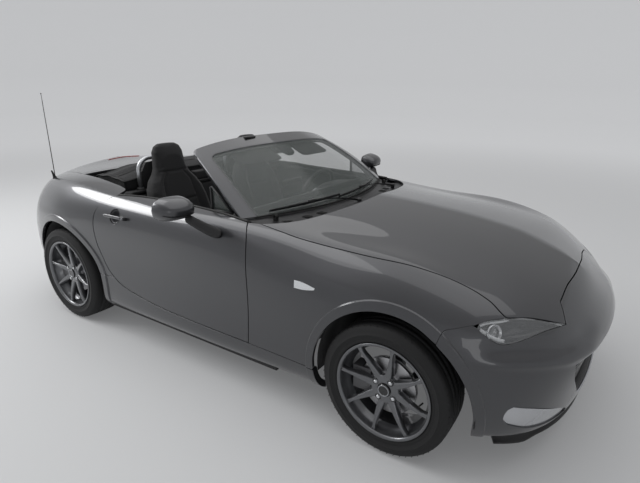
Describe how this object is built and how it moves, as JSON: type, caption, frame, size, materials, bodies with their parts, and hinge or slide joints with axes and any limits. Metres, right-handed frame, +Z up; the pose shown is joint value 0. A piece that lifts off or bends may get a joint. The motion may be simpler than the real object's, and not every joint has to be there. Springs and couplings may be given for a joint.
{
  "type": "two-seat convertible car",
  "caption": "Low two-seat open car with a long curved bonnet, folded cloth hood, opening doors, bonnet and boot lid, steered front wheels and spoked alloy rims.",
  "frame": {"origin": "on the ground under the middle of the car's bounding box", "axes": "+X towards the nose, +Y to the car's left, +Z up"},
  "size_m": [3.9087, 2.01, 1.4134],
  "materials": {
    "body_paint": "gunmetal metallic paint",
    "black_trim": "satin black",
    "lamp_clear": "clear",
    "lamp_red": "gloss red",
    "screen_glass": "clear",
    "cabin_plastic": "grained black",
    "seat_cloth": "black cloth",
    "hood_cloth": "black canvas",
    "under_body": "matt black",
    "engine_metal": "cast",
    "exhaust_metal": "brushed",
    "hoop_metal": "satin",
    "hub_metal": "cast",
    "tyre_rubber": "matt",
    "alloy": "gunmetal paint",
    "disc_iron": "machined"
  },
  "bodies": {
    "body": {"front_fenders": "body_paint", "rear_quarters": "body_paint", "sills": "body_paint", "front_bumper": "body_paint", "rear_bumper": "body_paint", "rear_deck": "body_paint", "windscreen_pillars": "body_paint", "front_lip": "black_trim", "grille": "black_trim", "cowl": "black_trim", "windscreen_header": "black_trim", "interior_mirror": "black_trim", "antenna": "black_trim", "headlights": "lamp_clear", "side_lamps": "lamp_clear", "daytime_lamps": "lamp_clear", "tail_lamps": "lamp_red", "windscreen_glass": "screen_glass", "dashboard": "cabin_plastic", "centre_console": "cabin_plastic", "hood_well": "cabin_plastic", "seat_cushions": "seat_cloth", "seat_backs": "seat_cloth", "soft_top": "hood_cloth", "floor_pan": "under_body", "firewall": "under_body", "rear_bulkhead": "under_body", "chassis_frame": "under_body", "boot_tub": "under_body", "suspension": "under_body", "engine": "engine_metal", "exhaust": "exhaust_metal", "roll_hoops": "hoop_metal", "rear_knuckles": "hub_metal"},
    "left_door": {"left_door": "body_paint", "left_door_handle": "body_paint", "left_mirror": "body_paint", "left_quarter_glass": "screen_glass"},
    "right_door": {"right_door": "body_paint", "right_door_handle": "body_paint", "right_mirror": "body_paint", "right_quarter_glass": "screen_glass"},
    "bonnet": {"bonnet": "body_paint"},
    "boot_lid": {"boot_lid": "body_paint"},
    "steering_wheel": {"steering_wheel": "cabin_plastic"},
    "front_left_knuckle": {"front_left_knuckle": "hub_metal"},
    "front_right_knuckle": {"front_right_knuckle": "hub_metal"},
    "front_left_wheel": {"front_left_tyre": "tyre_rubber", "front_left_rim": "alloy", "front_left_disc": "disc_iron"},
    "front_right_wheel": {"front_right_tyre": "tyre_rubber", "front_right_rim": "alloy", "front_right_disc": "disc_iron"},
    "rear_left_wheel": {"rear_left_tyre": "tyre_rubber", "rear_left_rim": "alloy", "rear_left_disc": "disc_iron"},
    "rear_right_wheel": {"rear_right_tyre": "tyre_rubber", "rear_right_rim": "alloy", "rear_right_disc": "disc_iron"}
  },
  "joints": [
    {"name": "left_door_hinge", "type": "hinge", "parent": "body", "child": "left_door", "pos_m": [0.373, 0.795, 0.53], "axis": [0, 0, -1], "range_deg": [0, 62]},
    {"name": "right_door_hinge", "type": "hinge", "parent": "body", "child": "right_door", "pos_m": [0.373, -0.795, 0.53], "axis": [0, 0, 1], "range_deg": [0, 62]},
    {"name": "bonnet_hinge", "type": "hinge", "parent": "body", "child": "bonnet", "pos_m": [0.4, 0, 0.862], "axis": [0, -1, 0], "range_deg": [0, 50]},
    {"name": "boot_lid_hinge", "type": "hinge", "parent": "body", "child": "boot_lid", "pos_m": [-1.256, 0, 0.911], "axis": [0, 1, 0], "range_deg": [0, 70]},
    {"name": "steer_left", "type": "hinge", "parent": "body", "child": "front_left_knuckle", "pos_m": [1.1825, 0.688, 0.3], "axis": [0, 0, 1], "range_deg": [-33, 33]},
    {"name": "steer_right", "type": "hinge", "parent": "body", "child": "front_right_knuckle", "pos_m": [1.1825, -0.688, 0.3], "axis": [0, 0, 1], "range_deg": [-33, 33]},
    {"name": "steering_wheel_turn", "type": "hinge", "parent": "body", "child": "steering_wheel", "pos_m": [-0.03, 0.352, 0.77], "axis": [-0.9272, 0, 0.3746], "range_deg": [-485.1, 485.1]},
    {"name": "front_left_spin", "type": "hinge", "parent": "front_left_knuckle", "child": "front_left_wheel", "pos_m": [1.1825, 0.748, 0.3], "axis": [0, 1, 0], "continuous": true},
    {"name": "front_right_spin", "type": "hinge", "parent": "front_right_knuckle", "child": "front_right_wheel", "pos_m": [1.1825, -0.748, 0.3], "axis": [0, 1, 0], "continuous": true},
    {"name": "rear_left_spin", "type": "hinge", "parent": "body", "child": "rear_left_wheel", "pos_m": [-1.1275, 0.7525, 0.3], "axis": [0, 1, 0], "continuous": true},
    {"name": "rear_right_spin", "type": "hinge", "parent": "body", "child": "rear_right_wheel", "pos_m": [-1.1275, -0.7525, 0.3], "axis": [0, 1, 0], "continuous": true}
  ],
  "couplings": [
    {"joint": "steer_right", "follows": "steer_left", "ratio": 1},
    {"joint": "steering_wheel_turn", "follows": "steer_left", "ratio": 14.7}
  ]
}
